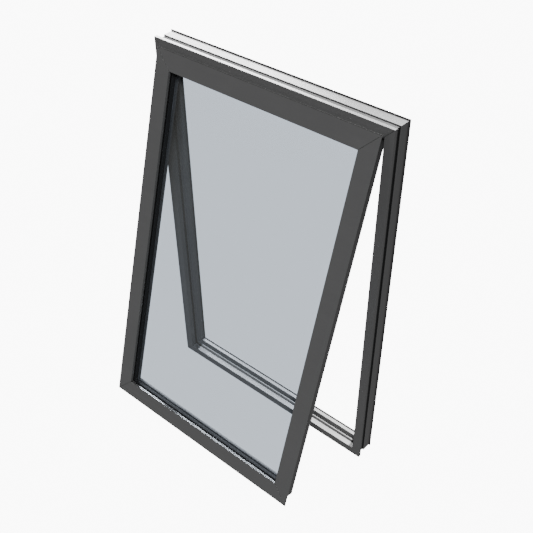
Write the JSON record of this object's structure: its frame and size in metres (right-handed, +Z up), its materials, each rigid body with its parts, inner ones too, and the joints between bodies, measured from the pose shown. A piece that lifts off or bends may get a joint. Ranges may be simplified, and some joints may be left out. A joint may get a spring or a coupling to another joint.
{
  "type": "awning window",
  "caption": "Top-hung awning window with a dark aluminium frame, a double-glazed sash that swings outward and a continuous hook hinge along the head.",
  "frame": {"origin": "middle of the sill flange's underside, which stands on the sill of the opening", "axes": "+Z up, +X to the right seen from outside, +Y into the building; the sash opens towards -Y"},
  "size_m": [0.6, 0.3122, 0.9],
  "materials": {
    "frame_coat": "satin charcoal powder coat",
    "sash_coat": "satin charcoal powder coat",
    "mill_aluminium": "mill",
    "screw_steel": "plain",
    "seal_rubber": "matt",
    "nylon": "matt",
    "spacer_metal": "dark anodised",
    "glass": "clear"
  },
  "bodies": {
    "frame": {"frame_head": "frame_coat", "frame_sill": "frame_coat", "frame_left_jamb": "frame_coat", "frame_right_jamb": "frame_coat", "frame_corner_cleats": "mill_aluminium", "frame_seal_head": "seal_rubber", "frame_seal_sill": "seal_rubber", "frame_seal_left": "seal_rubber", "frame_seal_right": "seal_rubber", "hinge_bead_rail": "frame_coat", "hinge_bead_screws": "screw_steel", "hinge_end_stops": "nylon"},
    "sash": {"sash_top_rail": "sash_coat", "sash_bottom_rail": "sash_coat", "sash_left_stile": "sash_coat", "sash_right_stile": "sash_coat", "sash_corner_cleats": "mill_aluminium", "hinge_hook_rail": "sash_coat", "hinge_hook_screws": "screw_steel", "outer_gasket_top": "seal_rubber", "outer_gasket_bottom": "seal_rubber", "outer_gasket_left": "seal_rubber", "outer_gasket_right": "seal_rubber", "outer_pane": "glass", "inner_pane": "glass", "spacer_frame": "spacer_metal", "edge_sealant": "seal_rubber", "setting_blocks": "nylon", "inner_gasket_top": "seal_rubber", "inner_gasket_bottom": "seal_rubber", "inner_gasket_left": "seal_rubber", "inner_gasket_right": "seal_rubber", "bead_top": "sash_coat", "bead_bottom": "sash_coat", "bead_left": "sash_coat", "bead_right": "sash_coat", "rear_seal_top": "seal_rubber", "rear_seal_bottom": "seal_rubber", "rear_seal_left": "seal_rubber", "rear_seal_right": "seal_rubber"}
  },
  "joints": [
    {"name": "sash_hinge", "type": "hinge", "parent": "frame", "child": "sash", "pos_m": [0, 0.00625, 0.875], "axis": [-1, 0, 0], "range_deg": [-17, 13]}
  ]
}
